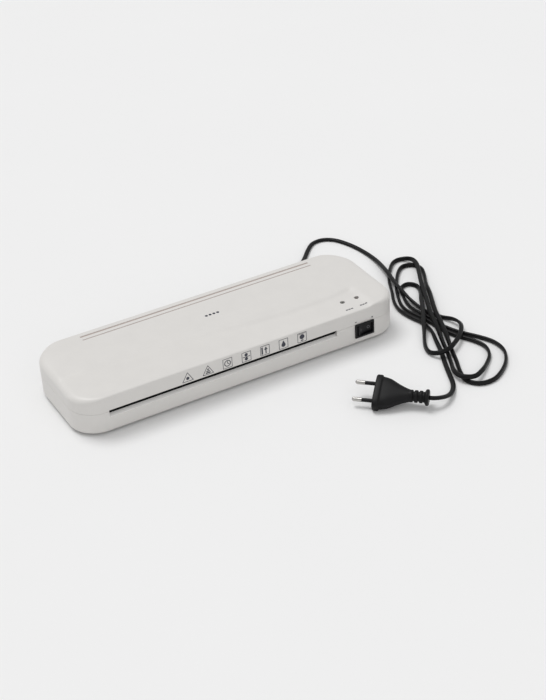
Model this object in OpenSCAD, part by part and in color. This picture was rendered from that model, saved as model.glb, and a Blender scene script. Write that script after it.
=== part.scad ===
// Desktop hot laminator for A4 pouches, with its mains cord and plug.
// X runs along the feed slot, Y from the front to the back, Z up. The origin
// is on the table, under the middle of the case.

/* [Case] */
// Length of the case, along X
case_w = 335; // [325:1:350]
// Depth of the case, front to back
case_d = 109.4; // [106:0.2:116]
// Height of the top of the case over the table
case_h = 40.4; // [40:0.2:44]
// Radius of the case's upright corners
corner_r = 26.8; // [20:0.2:30]
// Wall thickness of both shells
wall = 2.2; // [1.8:0.1:2.6]
// Height of the seam between the two shells
seam_z = 23.5; // [23:0.1:24]
// Chamfer round the top edge
top_chamfer = 1.4; // [0.8:0.1:2]
// Chamfer round the bottom edge
bottom_chamfer = 2.6; // [1.5:0.1:3]
// Height of the rubber feet under the case
foot_h = 2.5; // [2:0.1:3]
// Diameter of a rubber foot
foot_d = 12; // [10:0.5:14]

/* [Paper path] */
// Width of the feed slot
feed_w = 235; // [232:0.5:236]
// Middle of the feed slot, along X
feed_x = -21.2; // [-23:0.1:-20]
// Height of the pouch path through the rollers
nip_z = 21.5; // [21.3:0.1:21.7]
// Upper edge of the feed slot
slot_top_z = 24.9; // [24.6:0.1:25.2]
// Outer edge of the ledge under the feed slot, and lower edge of the exit slot
ledge_z = 18; // [17:0.1:18.4]
// Depth of the ledge under the feed slot
ledge_d = 4; // [3:0.1:5]
// Height of the exit slot in the back
exit_h = 7; // [6.2:0.1:7]
// Gap between the two heater plates
plate_gap = 2.8; // [2.4:0.1:3]

/* [Rollers and drive] */
// Diameter of the rubber rollers
roller_d = 14; // [13.6:0.1:14.2]
// Gap between the rollers with no pouch in them
roller_gap = 0.3; // [0.3:0.05:0.5]
// Diameter of the steel roller shafts
shaft_d = 6; // [5:0.5:6]
// Radial clearance of the shafts in their bushes
running_gap = 0.05; // [0.03:0.01:0.08]
// Teeth on each roller gear
gear_teeth = 20; // [20:4:20]
// Teeth on the motor pinion
pinion_teeth = 16; // [16:4:16]
// Play between the flanks of meshing teeth
backlash = 0.16; // [0.12:0.01:0.2]
// Diameter of the gear motor
motor_d = 30; // [28:0.5:30]

/* [Switch and lamps] */
// Width of the rocker switch's bezel
bezel_w = 21; // [20:0.5:23]
// Height of the rocker switch's bezel
bezel_h = 15; // [14:0.5:15]
// Middle of the switch, along X
switch_x = 126.3; // [124:0.1:127]
// Middle of the switch, over the table
switch_z = 16.5; // [16:0.1:16.6]
// Tilt of the rocker to each side
rocker_tilt = 10; // [8:0.5:12]
// Diameter of the lamp holes
lamp_hole_d = 4.8; // [4:0.1:5]
// Middle of the power lamp, along X
power_lamp_x = 115.7; // [114:0.1:117]
// Middle of the ready lamp, along X
ready_lamp_x = 131.3; // [130:0.1:132]
// Middle of both lamps, along Y
lamp_y = -33.4; // [-34:0.1:-33]

/* [Cord] */
// Diameter of the cord's plain tube
cord_d = 4; // [3.6:0.1:4]
// Where the cord leaves the back, along X
cord_x = 136; // [135:0.5:136]
// Height of the cord where it leaves the back
cord_z = 12; // [11:0.5:13]
// Length of the tapered strain relief
relief_l = 22; // [20:1:24]

/* [Plug] */
// Width of the plug's face
plug_w = 35.3; // [35:0.1:35.6]
// Thickness of the plug's body
plug_t = 13.7; // [13:0.1:14]
// Length of the plug from its face to the collar's end
plug_l = 49.5; // [48:0.5:50]
// Length of the plug's pins
pin_l = 19; // [18.5:0.1:19.5]
// Diameter of the plug's pins
pin_d = 4; // [3.9:0.01:4.1]
// Distance between the pins at the face
pin_pitch = 18.6; // [18:0.1:19]
// How far the plug leans over on its edge
plug_roll = 21.4; // [15:0.1:25]

/* [Hidden] */
$fn = 64;
hull_fn = 32;
eps = 0.01;

shell_colour = [0.86, 0.855, 0.835];
black_colour = [0.13, 0.13, 0.14];
steel_colour = [0.72, 0.73, 0.75];
rubber_colour = [0.75, 0.32, 0.2];
gear_colour = [0.93, 0.92, 0.88];
board_colour = [0.12, 0.42, 0.25];
guide_colour = [0.25, 0.25, 0.27];
aluminium_colour = [0.8, 0.81, 0.82];
mica_colour = [0.78, 0.7, 0.52];
brass_colour = [0.8, 0.68, 0.36];

// Case
inner_w = case_w - 2 * wall;
inner_d = case_d - 2 * wall;
inner_r = corner_r - wall;
floor_z = foot_h + wall;
roof_z = case_h - wall;
front_y = -case_d / 2;
back_y = case_d / 2;
slot_left = feed_x - feed_w / 2;
slot_right = feed_x + feed_w / 2;
ledge_rise = 1.6;
exit_low_z = ledge_z;
case_screw_x = 157;
case_screw_y = 35;
foot_x = 132;
foot_y = 38;
screw_d = 2.9;
thread_d = 3;
clear_d = 3.3;
head_d = 5.6;
head_h = 1.8;

// Frame
plate_t = 1.2;
frame_margin = 4.7;
frame_left = slot_left - frame_margin;
frame_right = slot_right + frame_margin;
frame_front = -42;
frame_back = 33;
boss_top = 8.7;
frame_top = 36.6;
flange_w = 7.6;
flange_front_y = -30;
flange_back_y = 2;
tie_places = [[-37, 13], [27, 13], [-3, 33.5], [27, 33]];
tie_d = 5;
left_foot_x = frame_left - plate_t - flange_w / 2;
right_foot_x = frame_right + plate_t + flange_w / 2;
frame_feet = [[left_foot_x, flange_front_y], [left_foot_x, flange_back_y], [right_foot_x, flange_front_y]];

// Rollers
roller_y = 16;
axle_gap = roller_d + roller_gap;
lower_z = nip_z - axle_gap / 2;
upper_z = nip_z + axle_gap / 2;
sleeve_margin = 5.4;
sleeve_left = frame_left + sleeve_margin;
sleeve_right = frame_right - sleeve_margin + 0.4;
shaft_left = frame_left - 6;
bush_bore = shaft_d + 2 * running_gap;
bush_d = 9;
bush_flange_d = 12;
bush_lip = 1.6;
bush_half_h = 4;
bush_stop = 0.05;
spring_low = upper_z + bush_half_h;
spring_wire = 0.7;
spring_d = 4.6;
spring_turns = 3;

// Gears
gear_module = axle_gap / gear_teeth;
pressure_angle = 20;
gear_left = frame_right + 3.5;
gear_w = 5;
shaft_right = gear_left + gear_w + 1;
pinion_y = roller_y + gear_module * (gear_teeth + pinion_teeth) / 2;
bracket_x = frame_right + 11;
motor_l = 15.8;
motor_y = 35.5;
motor_z = 20.5;
motor_shaft_d = 4;
motor_screw_ys = [motor_y - 3, motor_y + 11];
bracket_feet = [[bracket_x - 5.5, 46], [bracket_x + plate_t + 5, 14]];

// Heater
heater_front = -40;
heater_back = 2;
heater_t = 3.5;
heater_left = slot_left + 1.7;
heater_right = slot_right - 1.4;
lower_plate_top = nip_z - plate_gap / 2;
upper_plate_low = nip_z + plate_gap / 2;
strip_t = 1.5;
strip_front = -22;
strip_back = -2;
lug_y = -17;
lug_w = 14;
lug_l = 6.4;
lug_h = 9;
lip_t = 1.4;

// Switch, lamps and boards
bezel_t = 1.6;
switch_body_w = 19;
switch_body_h = 12.8;
switch_body_d = 13;
rocker_w = 16.4;
rocker_h = 10.4;
rocker_axis_y = front_y + 2.2;
rocker_pin_d = 2;
lamp_d = 3;
lamp_top = case_h - 2.4;
lamp_board_z = 30;
board_t = 1.6;
board_z = 10;
board_left = 112;
board_right = 152;
board_front = -34;
board_back = 8;
board_holes = [for (x = [board_left + 3.5, board_right - 3.5], y = [board_front + 3.5, board_back - 3.5]) [x, y]];

// Wiring
wire_r = 0.9;

// Plug, in its own frame: x out of the face along the pins, y across them
plug_heading = 136.5;
plug_at = [81.1, -142.7, 11.05];
sleeve_l = 10;
pin_root = 8;
pin_core_d = 3;

function unit(v) = v / norm(v);
function plug_point(along) =
  plug_at + along * [cos(plug_heading), sin(plug_heading), 0];

// The cord's route on the table. It leaves the strain relief, drops to the
// table, runs round to the bundle, goes round the figure of eight three and a
// half times and ends in the plug. Strands that go up cross over those that
// come down.
cord_lead = [
  [cord_x, back_y + relief_l, cord_z], [cord_x, back_y + relief_l + 2, cord_z], [137.5, 87, 10.4],
  [144, 97, 6.8], [153, 107, 3.6], [163, 118, 2.2], [173, 129, 2.1], [184, 138, 2.1], [196, 139, 2.1],
  [206, 132, 2.1], [213, 118, 2.1], [218, 98, 2.1], [219, 72, 3], [213, 42, 6.4], [206, 12, 6.7], [203, -7, 6.6], [203, -25, 3.4],
];
cord_small_right_loop = [
  [205, -44, 2.1], [212, -61, 2.2], [217, -73, 4.6], [216, -86, 6.6], [206, -99, 6.7],
  [192, -110, 6.8], [180, -116, 6.8], [171, -116, 6.2], [166, -108, 3.2], [168, -97, 2.1],
  [175, -84, 2.4], [183, -72, 5.4],
];
cord_small_left_loop = [
  [193, -56, 6.9], [203, -40, 6.9], [212, -24, 5.6], [222, -7, 2.8], [225, 3, 2.1],
  [219, 11, 2.1], [210, 8, 2.1], [202, -8, 2.1], [197, -25, 2.1], [198, -41, 2.1],
];
cord_outer_right_loop = [
  [202, -58, 2.1], [204, -76, 2.1], [210, -92, 2.1], [220, -108, 2.1], [227, -123, 2.1],
  [227, -139, 2.1], [219, -154, 2.1], [205, -167, 2.1], [189, -175, 2.1], [175, -173, 2.1],
  [168, -163, 2.1], [171, -149, 2.1], [179, -131, 2.1], [187, -111, 2.4], [194, -93, 6],
];
cord_inner_left_loop = [
  [201, -75, 6.6], [210, -51, 6.5], [217, -36, 6.5], [225, -20, 5.6], [233, -2, 3.6],
  [243, 16, 2.1], [248, 29, 2.1], [245, 40, 2.1], [235, 43, 2.1], [224, 35, 2.1],
  [213, 21, 2.1], [204, 8, 2.1], [197, -6, 2.1], [192, -18, 2.1], [190, -31, 2.1],
];
cord_inner_right_loop = [
  [193, -44, 2.1], [197, -60, 2.1], [199, -78, 2.1], [204, -95, 2.1], [212, -110, 2.1],
  [216, -125, 2.1], [211, -139, 2.1], [200, -150, 2.4], [187, -160, 4.6], [174, -166, 6.5],
  [165, -160, 6.6], [165, -148, 5], [173, -131, 2.4], [181, -113, 2.1], [187, -97, 2.8],
];
cord_outer_left_loop = [
  [195, -76, 6.3], [203, -54, 6.5], [211, -37, 6.5], [220, -18, 6.5], [230, 3, 6.6],
  [239, 20, 6.7], [246, 35, 6.7], [248, 47, 4.8], [243, 56, 2.2], [233, 56, 2.1],
  [219, 43, 2.1], [206, 24, 2.1], [198, 7, 2.1], [190, -8, 2.1], [185, -24, 2.1],
];
cord_tail = [
  [186, -41, 2.1], [190, -57, 2.1], [190, -73, 2.1], [184, -90, 2.1], [177, -109, 2.1],
  [168, -129, 2.1], [161, -146, 2.1], [156, -158, 2.1], [149, -168, 3.2], [140, -176, 5.8],
  [130, -180, 8.6],
];
cord_route = concat(
  cord_lead, cord_small_right_loop, cord_small_left_loop, cord_outer_right_loop,
  cord_inner_left_loop, cord_inner_right_loop, cord_outer_left_loop, cord_tail,
  [plug_point(-plug_l - 4), plug_point(-plug_l)]
);

// ---------------------------------------------------------------- helpers

// Plan with round corners, centred on the origin.
module rounded_plan(w, d, r) {
  square([w - 2 * r, d], center = true);
  square([w, d - 2 * r], center = true);
  for (x = [-1, 1], y = [-1, 1])
    translate([x * (w / 2 - r), y * (d / 2 - r)]) circle(r);
}

module rounded_prism(w, d, r, low, high) {
  translate([0, 0, low]) linear_extrude(high - low) rounded_plan(w, d, r);
}

// Box between two corners.
module block(low, high) {
  translate(low) cube(high - low);
}

// Cylinder along X.
module rod_x(d, left, right, y, z) {
  translate([left, y, z]) rotate([0, 90, 0]) cylinder(d = d, h = right - left);
}

// Outline in Y and Z, extruded along X.
module profile_x(left, right, points) {
  translate([left, 0, 0]) rotate([90, 0, 90]) linear_extrude(right - left) polygon(points);
}

// Screw with a pan head, its head's seat at the origin and its shank down.
module screw(length, shank = screw_d) {
  cylinder(d = head_d, h = head_h);
  translate([0, 0, -length]) cylinder(d = shank, h = length + eps);
}

function heading(p, i) = unit(p[min(i + 1, len(p) - 1)] - p[max(i - 1, 0)]);
function ring(p, i, r, sides, up) =
  let (t = heading(p, i), s = unit(cross(up, t)), u = cross(t, s))
  [for (k = [0:sides - 1]) p[i] + r * cos(360 * k / sides) * s + r * sin(360 * k / sides) * u];

// Round tube swept along points. `up` is any direction that the tube never runs in.
module tube(points, r, sides, up = [0, 0, 1]) {
  last = len(points) - 1;
  polyhedron(
    points = [for (i = [0:last]) each ring(points, i, r, sides, up)],
    faces = [
      [for (k = [0:sides - 1]) k],
      [for (k = [sides - 1:-1:0]) last * sides + k],
      for (i = [0:last - 1], k = [0:sides - 1])
        let (a = i * sides + k, b = i * sides + (k + 1) % sides)
        each [[a, a + sides, b], [b, a + sides, b + sides]],
    ]
  );
}

// Involute gear of `teeth` teeth, `phase` degrees round from a tooth on +y.
function involute(base, angle) =
  base * [cos(angle) + angle * PI / 180 * sin(angle), sin(angle) - angle * PI / 180 * cos(angle)];
function turned(p, a) = [p[0] * cos(a) - p[1] * sin(a), p[0] * sin(a) + p[1] * cos(a)];
function flank(base, low, high, steps) = [
  for (i = [0:steps])
    let (r = low + (high - low) * i / steps, angle = sqrt(max(r * r / base / base - 1, 0)) * 180 / PI)
    involute(base, angle)
];
function gear_outline(teeth, phase) =
  let (
    pitch = gear_module * teeth / 2,
    base = pitch * cos(pressure_angle),
    root = pitch - 1.2 * gear_module,
    tip = pitch + 0.95 * gear_module,
    at_pitch = (tan(pressure_angle) * 180 / PI) - pressure_angle,
    half = 90 / teeth - backlash / 2 / pitch * 90 / PI,
    side = [for (p = flank(base, max(base, root), tip, 4)) turned(p, -half - at_pitch)],
    foot = turned([root, 0], -half - at_pitch),
    lower = concat(root < base ? [foot] : [], side),
    upper = [for (i = [len(lower) - 1:-1:0]) [lower[i][0], -lower[i][1]]]
  )
  [for (k = [0:teeth - 1]) each [for (p = concat(lower, upper)) turned(p, phase + 360 * k / teeth)]];

module gear(teeth, phase, y, z, bore) {
  translate([gear_left, y, z]) rotate([90, 0, 90]) linear_extrude(gear_w) difference() {
    polygon(gear_outline(teeth, phase));
    circle(d = bore);
  }
}

// ---------------------------------------------------------------- case

module case_posts(low, high, d) {
  for (x = [-1, 1], y = [-1, 1])
    translate([x * case_screw_x, y * case_screw_y, low]) cylinder(d = d, h = high - low);
}

module switch_window()
  block([switch_x - switch_body_w / 2, front_y - 1, switch_z - switch_body_h / 2],
    [switch_x + switch_body_w / 2, front_y + wall + 1, switch_z + switch_body_h / 2]);

// Lower shell, up to the lower edges of the feed and exit slots.
module base_tray() color(shell_colour) difference() {
  union() {
    difference() {
      hull($fn = hull_fn) {
        rounded_prism(case_w, case_d, corner_r, foot_h + bottom_chamfer, ledge_z, $fn = 4 * hull_fn);
        rounded_prism(case_w - 2 * bottom_chamfer, case_d - 2 * bottom_chamfer,
          corner_r - bottom_chamfer, foot_h, foot_h + 0.2, $fn = 4 * hull_fn);
      }
      rounded_prism(inner_w, inner_d, inner_r, floor_z, ledge_z + 1);
    }
    case_posts(floor_z - 1, ledge_z, 9);
    for (p = frame_feet) translate([p[0], p[1], floor_z - 1]) cylinder(d = 8, h = boss_top - floor_z + 1);
    for (p = bracket_feet) translate([p[0], p[1], floor_z - 1]) cylinder(d = 8, h = boss_top - floor_z + 1);
    for (p = board_holes)
      translate([p[0], p[1], floor_z - 1]) cylinder(d = 6, h = board_z - floor_z + 1);
  }
  // screw tunnels, pilots and foot recesses
  case_posts(foot_h - 1, ledge_z + 1, clear_d + 0.2);
  case_posts(foot_h - 1, 12, 6.6);
  for (p = frame_feet) translate([p[0], p[1], floor_z]) cylinder(d = thread_d, h = 9);
  for (p = bracket_feet) translate([p[0], p[1], floor_z]) cylinder(d = thread_d, h = 9);
  for (p = board_holes) translate([p[0], p[1], floor_z]) cylinder(d = thread_d, h = 9);
  for (x = [-1, 1], y = [-1, 1])
    translate([x * foot_x, y * foot_y, foot_h - 1]) cylinder(d = foot_d, h = 2);
  switch_window();
  // hole for the strain relief
  translate([cord_x, back_y - wall - 1, cord_z]) rotate([-90, 0, 0]) cylinder(d = 8, h = wall + 2);
  // cooling slots under the heater
  for (x = [-110:22:66])
    block([x, -30, foot_h - 1], [x + 3, -6, floor_z + 1]);
}

// Wall of the lower shell between the slots and the seam, round one end.
module rim(low_x, high_x) difference() {
  intersection() {
    rounded_prism(case_w, case_d, corner_r, ledge_z, seam_z);
    block([low_x, front_y - 1, ledge_z - 1], [high_x, back_y + 1, seam_z + 1]);
  }
  rounded_prism(inner_w, inner_d, inner_r, ledge_z - 1, seam_z + 1);
  switch_window();
}
module left_rim() color(shell_colour) rim(-case_w / 2 - 1, slot_left);
module right_rim() color(shell_colour) rim(slot_right, case_w / 2 + 1);

// Sloping ledge that the pouch is laid on.
module feed_sill() color(shell_colour) profile_x(slot_left, slot_right, [
  [front_y, ledge_z], [front_y + wall, ledge_z], [front_y + wall, floor_z], [front_y + ledge_d, floor_z],
  [front_y + ledge_d, ledge_z + ledge_rise],
]);

module top_cover() color(shell_colour) difference() {
  union() {
    difference() {
      hull($fn = hull_fn) {
        rounded_prism(case_w, case_d, corner_r, seam_z, case_h - top_chamfer, $fn = 4 * hull_fn);
        rounded_prism(case_w - 2 * top_chamfer, case_d - 2 * top_chamfer,
          corner_r - top_chamfer, case_h - 0.2, case_h, $fn = 4 * hull_fn);
      }
      rounded_prism(inner_w, inner_d, inner_r, seam_z - 1, roof_z);
    }
    case_posts(ledge_z, roof_z + 1, 8);
    for (x = [power_lamp_x - 6, ready_lamp_x + 6])
      translate([x, lamp_y, lamp_board_z + board_t]) cylinder(d = 5, h = roof_z - lamp_board_z);
  }
  block([slot_left, front_y - 1, seam_z - 1], [slot_right, front_y + wall + 1, slot_top_z]);
  block([slot_left, back_y - wall - 1, seam_z - 1], [slot_right, back_y + 1, exit_low_z + exit_h]);
  case_posts(ledge_z - 1, 33, thread_d);
  for (x = [power_lamp_x - 6, ready_lamp_x + 6])
    translate([x, lamp_y, lamp_board_z]) cylinder(d = 2.2, h = 7);
  for (x = [power_lamp_x, ready_lamp_x])
    translate([x, lamp_y, roof_z - 1]) cylinder(d = lamp_hole_d, h = wall + 2);
  // the two decorative grooves along the back of the top
  block([-120, 45.8, case_h - 0.8], [125, 48.2, case_h + 1]);
  block([-120, 40.5, case_h - 0.6], [125, 41.9, case_h + 1]);
}

module rubber_feet() color(black_colour)
  for (x = [-1, 1], y = [-1, 1])
    translate([x * foot_x, y * foot_y, 0]) {
      cylinder(d1 = foot_d - 1, d2 = foot_d, h = 0.8);
      translate([0, 0, 0.8]) cylinder(d = foot_d, h = foot_h + 0.2);
    }

module case_screws() color(steel_colour)
  for (x = [-1, 1], y = [-1, 1])
    translate([x * case_screw_x, y * case_screw_y, 12]) mirror([0, 0, 1]) screw(19);

// ---------------------------------------------------------------- switch and lamps

module switch_housing() color(black_colour) difference() {
  union() {
    block([switch_x - bezel_w / 2, front_y - bezel_t, switch_z - bezel_h / 2],
      [switch_x + bezel_w / 2, front_y, switch_z + bezel_h / 2]);
    block([switch_x - switch_body_w / 2, front_y - eps, switch_z - switch_body_h / 2],
      [switch_x + switch_body_w / 2, front_y + switch_body_d, switch_z + switch_body_h / 2]);
  }
  block([switch_x - rocker_w / 2 - 0.5, front_y - bezel_t - 1, switch_z - rocker_h / 2 - 0.3],
    [switch_x + rocker_w / 2 + 0.5, front_y + 8, switch_z + rocker_h / 2 + 0.3]);
  translate([switch_x, rocker_axis_y, switch_z - rocker_h / 2 - 1.1])
    cylinder(d = rocker_pin_d + 0.1, h = rocker_h + 2.2);
}

// The rocker pushed down on its right, "off", side.
module switch_rocker() color(black_colour)
  translate([switch_x, rocker_axis_y, switch_z]) rotate([0, 0, rocker_tilt]) {
    translate([0, 0, -rocker_h / 2]) linear_extrude(rocker_h) polygon([
      [-rocker_w / 2, -3.2], [0, -1.9], [rocker_w / 2, -3.2],
      [rocker_w / 2 - 0.5, 0.8], [3, 2.4], [-3, 2.4], [-rocker_w / 2 + 0.5, 0.8],
    ]);
    translate([0, 0, -rocker_h / 2 - 0.9]) cylinder(d = rocker_pin_d, h = rocker_h + 1.8);
  }

module switch_terminals() color(brass_colour)
  for (x = [-5, 5])
    block([switch_x + x - 2.4, front_y + switch_body_d, switch_z - 0.4],
      [switch_x + x + 2.4, -34, switch_z + 0.4]);

module lamp(x) {
  translate([x, lamp_y, lamp_board_z + board_t]) {
    cylinder(d = lamp_d + 0.8, h = 1);
    cylinder(d = lamp_d, h = lamp_top - lamp_d / 2 - lamp_board_z - board_t);
    translate([0, 0, lamp_top - lamp_d / 2 - lamp_board_z - board_t]) sphere(d = lamp_d);
  }
}
module power_lamp() color("limegreen") lamp(power_lamp_x);
module ready_lamp() color("orangered") lamp(ready_lamp_x);

module lamp_board() color(board_colour) difference() {
  block([power_lamp_x - 9, lamp_y - 6, lamp_board_z], [ready_lamp_x + 9, lamp_y + 6, lamp_board_z + board_t]);
  for (x = [power_lamp_x - 6, ready_lamp_x + 6])
    translate([x, lamp_y, lamp_board_z - 1]) cylinder(d = 2.4, h = board_t + 2);
}

module control_board() color(board_colour) difference() {
  block([board_left, board_front, board_z], [board_right, board_back, board_z + board_t]);
  for (p = board_holes) translate([p[0], p[1], board_z - 1]) cylinder(d = clear_d, h = board_t + 2);
}

module board_parts() {
  top = board_z + board_t;
  color("ivory") {
    block([113.5, -14, top], [120.5, -4, top + 5]);
    block([122, -4, top], [130, 4, top + 5]);
    block([137, -25, top], [142, -20, top + 4]);
  }
  color("royalblue") block([123, -22, top], [133, -8, top + 13]);
  color("dimgray") translate([148, -18, top]) cylinder(d = 7, h = 11);
  color("dimgray") block([143, -8, top], [150, -4, top + 9]);
}

module board_screws() color(steel_colour) {
  for (p = board_holes) translate([p[0], p[1], board_z + board_t]) screw(5);
  for (x = [power_lamp_x - 6, ready_lamp_x + 6])
    translate([x, lamp_y, lamp_board_z]) mirror([0, 0, 1]) {
      cylinder(d = 4, h = 1.2);
      translate([0, 0, -5]) cylinder(d = 2, h = 5);
    }
}

module terminal_block() color("ivory") difference() {
  block([141, 16, floor_z], [157, 28, 15]);
  for (x = [145, 149, 153]) translate([x, 22, 9]) cylinder(d = 3, h = 7);
}

// ---------------------------------------------------------------- frame

// Sheet-metal side plate; `outward` is -1 for the left one and 1 for the right.
module side_plate(inner, outward) {
  outer = inner + outward * plate_t;
  low_x = min(inner, outer);
  feet = [for (p = frame_feet) if (p[0] * outward > 0) p];
  difference() {
    union() {
      block([low_x, frame_front, boss_top], [low_x + plate_t, frame_back, frame_top + plate_t]);
      for (p = feet)
        block([min(inner, p[0] + outward * flange_w / 2), p[1] - 5, boss_top],
          [max(inner, p[0] + outward * flange_w / 2), p[1] + 5, boss_top + plate_t]);
      block([low_x - 2.1, roller_y - 6, frame_top], [low_x + plate_t + 2.1, roller_y + 6, frame_top + plate_t]);
    }
    rod_x(bush_d, low_x - 1, low_x + plate_t + 1, roller_y, lower_z);
    block([low_x - 1, roller_y - bush_d / 2 - running_gap, upper_z - bush_half_h - bush_stop],
      [low_x + plate_t + 1, roller_y + bush_d / 2 + running_gap, frame_top]);
    for (p = tie_places) rod_x(clear_d, low_x - 1, low_x + plate_t + 1, p[0], p[1]);
    for (z = [lower_plate_top - lug_h / 2, upper_plate_low + lug_h / 2])
      rod_x(clear_d, low_x - 1, low_x + plate_t + 1, lug_y, z);
    for (p = feet) translate([p[0], p[1], boss_top - 1]) cylinder(d = clear_d, h = plate_t + 2);
  }
}
module left_side_plate() color(steel_colour) side_plate(frame_left, -1);
module right_side_plate() color(steel_colour) side_plate(frame_right, 1);

module tie_rods() color(steel_colour)
  for (p = tie_places) difference() {
    rod_x(tie_d, frame_left, frame_right, p[0], p[1]);
    rod_x(thread_d, frame_left - 1, frame_left + 8, p[0], p[1]);
    rod_x(thread_d, frame_right - 8, frame_right + 1, p[0], p[1]);
  }

module frame_screws() color(steel_colour) {
  lugs = [for (z = [lower_plate_top - lug_h / 2, upper_plate_low + lug_h / 2]) [lug_y, z]];
  for (p = concat(tie_places, lugs)) {
    translate([frame_left - plate_t, p[0], p[1]]) rotate([0, -90, 0]) screw(6.5);
    translate([frame_right + plate_t, p[0], p[1]]) rotate([0, 90, 0]) screw(6.5);
  }
  for (p = concat(frame_feet, bracket_feet)) translate([p[0], p[1], boss_top + plate_t]) screw(4.8);
}

// ---------------------------------------------------------------- rollers

module lower_bushes() color(gear_colour)
  for (side = [[frame_left, -1], [frame_right, 1]])
    let (low = side[0] + min(0, side[1] * plate_t)) difference() {
      union() {
        rod_x(bush_d, low - bush_lip, low + plate_t + bush_lip, roller_y, lower_z);
        rod_x(bush_flange_d, side[1] < 0 ? low + plate_t : low - bush_lip,
          side[1] < 0 ? low + plate_t + bush_lip : low, roller_y, lower_z);
      }
      rod_x(bush_bore, low - 5, low + 7, roller_y, lower_z);
    }

module upper_bushes() color(gear_colour)
  for (low = [frame_left - plate_t, frame_right]) difference() {
    union() {
      block([low - 0.1, roller_y - bush_d / 2, upper_z - bush_half_h],
        [low + plate_t + 0.1, roller_y + bush_d / 2, upper_z + bush_half_h]);
      for (x = [low - bush_lip, low + plate_t + running_gap])
        block([x, roller_y - bush_flange_d / 2, upper_z - bush_half_h],
          [x + bush_lip - running_gap, roller_y + bush_flange_d / 2, upper_z + bush_half_h]);
    }
    rod_x(bush_bore, low - 5, low + 7, roller_y, upper_z);
  }

module pressure_springs() color(steel_colour) {
  steps = 14;
  r = (spring_d - spring_wire) / 2;
  low = spring_low + spring_wire / 2 + 0.02;
  high = frame_top - spring_wire / 2 - 0.02;
  for (x = [frame_left - plate_t / 2, frame_right + plate_t / 2])
    tube([for (i = [0:steps * spring_turns])
        [x + r * cos(360 * i / steps), roller_y + r * sin(360 * i / steps),
         low + (high - low) * i / steps / spring_turns]], spring_wire / 2, 6);
}

module shaft(z) difference() {
  rod_x(shaft_d, shaft_left, shaft_right, roller_y, z);
  // groove for the clip that keeps the shaft in place
  difference() {
    rod_x(shaft_d + 2, shaft_left + 1.5, shaft_left + 2.3, roller_y, z);
    rod_x(shaft_d - 1, shaft_left, shaft_left + 4, roller_y, z);
  }
}
module sleeve(z) difference() {
  rod_x(roller_d, sleeve_left, sleeve_right, roller_y, z);
  rod_x(shaft_d, sleeve_left - 1, sleeve_right + 1, roller_y, z);
}
module lower_shaft() color(steel_colour) shaft(lower_z);
module upper_shaft() color(steel_colour) shaft(upper_z);
module lower_roller_sleeve() color(rubber_colour) sleeve(lower_z);
module upper_roller_sleeve() color(rubber_colour) sleeve(upper_z);
module lower_gear() color(gear_colour) gear(gear_teeth, 0, roller_y, lower_z, shaft_d);
module upper_gear() color(gear_colour) gear(gear_teeth, 180 / gear_teeth, roller_y, upper_z, shaft_d);

// ---------------------------------------------------------------- drive

module motor_bracket() color(steel_colour) difference() {
  union() {
    block([bracket_x, 9, boss_top], [bracket_x + plate_t, 51, 36]);
    block([bracket_feet[0][0] - 4, 41, boss_top], [bracket_x, 51, boss_top + plate_t]);
    block([bracket_x, 9, boss_top], [bracket_feet[1][0] + 4, 19, boss_top + plate_t]);
  }
  rod_x(motor_shaft_d + 3, bracket_x - 1, bracket_x + plate_t + 1, pinion_y, lower_z);
  for (y = motor_screw_ys)
    rod_x(clear_d, bracket_x - 1, bracket_x + plate_t + 1, y, motor_z + 2);
  for (p = bracket_feet) translate([p[0], p[1], boss_top - 1]) cylinder(d = clear_d, h = plate_t + 2);
}

module drive_motor() color(steel_colour) difference() {
  union() {
    rod_x(motor_d, bracket_x + plate_t, bracket_x + plate_t + motor_l - 2, motor_y, motor_z);
    rod_x(motor_d - 8, bracket_x + plate_t, bracket_x + plate_t + motor_l, motor_y, motor_z);
  }
  rod_x(motor_shaft_d + 2 * running_gap, bracket_x, bracket_x + plate_t + 4, pinion_y, lower_z);
  for (y = motor_screw_ys)
    rod_x(thread_d, bracket_x, bracket_x + plate_t + 5, y, motor_z + 2);
}

module motor_screws() color(steel_colour)
  for (y = motor_screw_ys)
    translate([bracket_x, y, motor_z + 2]) rotate([0, -90, 0]) screw(4.8);

// Pinion and output shaft, in one piece as they turn together.
module motor_pinion() color(gear_colour) {
  gear(pinion_teeth, 180 / pinion_teeth, pinion_y, lower_z, 0);
  rod_x(motor_shaft_d, gear_left, bracket_x + plate_t + 3.5, pinion_y, lower_z);
}

// ---------------------------------------------------------------- heater and guides

module heater_plate(low, lug_low) difference() {
  union() {
    block([heater_left, heater_front, low], [heater_right, heater_back, low + heater_t]);
    block([frame_left, lug_y - lug_w / 2, lug_low],
      [heater_left + lug_l, lug_y + lug_w / 2, lug_low + lug_h]);
    block([heater_right - lug_l, lug_y - lug_w / 2, lug_low],
      [frame_right, lug_y + lug_w / 2, lug_low + lug_h]);
  }
  rod_x(thread_d, frame_left - 1, frame_left + 8, lug_y, lug_low + lug_h / 2);
  rod_x(thread_d, frame_right - 8, frame_right + 1, lug_y, lug_low + lug_h / 2);
}
module lower_heater_plate() color(aluminium_colour)
  heater_plate(lower_plate_top - heater_t, lower_plate_top - lug_h);
module upper_heater_plate() color(aluminium_colour)
  heater_plate(upper_plate_low, upper_plate_low);

module heater_strip(low)
  block([heater_left + lug_l + 2, strip_front, low], [heater_right - lug_l - 2, strip_back, low + strip_t]);
module lower_heater_strip() color(mica_colour) heater_strip(lower_plate_top - heater_t - strip_t);
module upper_heater_strip() color(mica_colour) heater_strip(upper_plate_low + heater_t);

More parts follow.
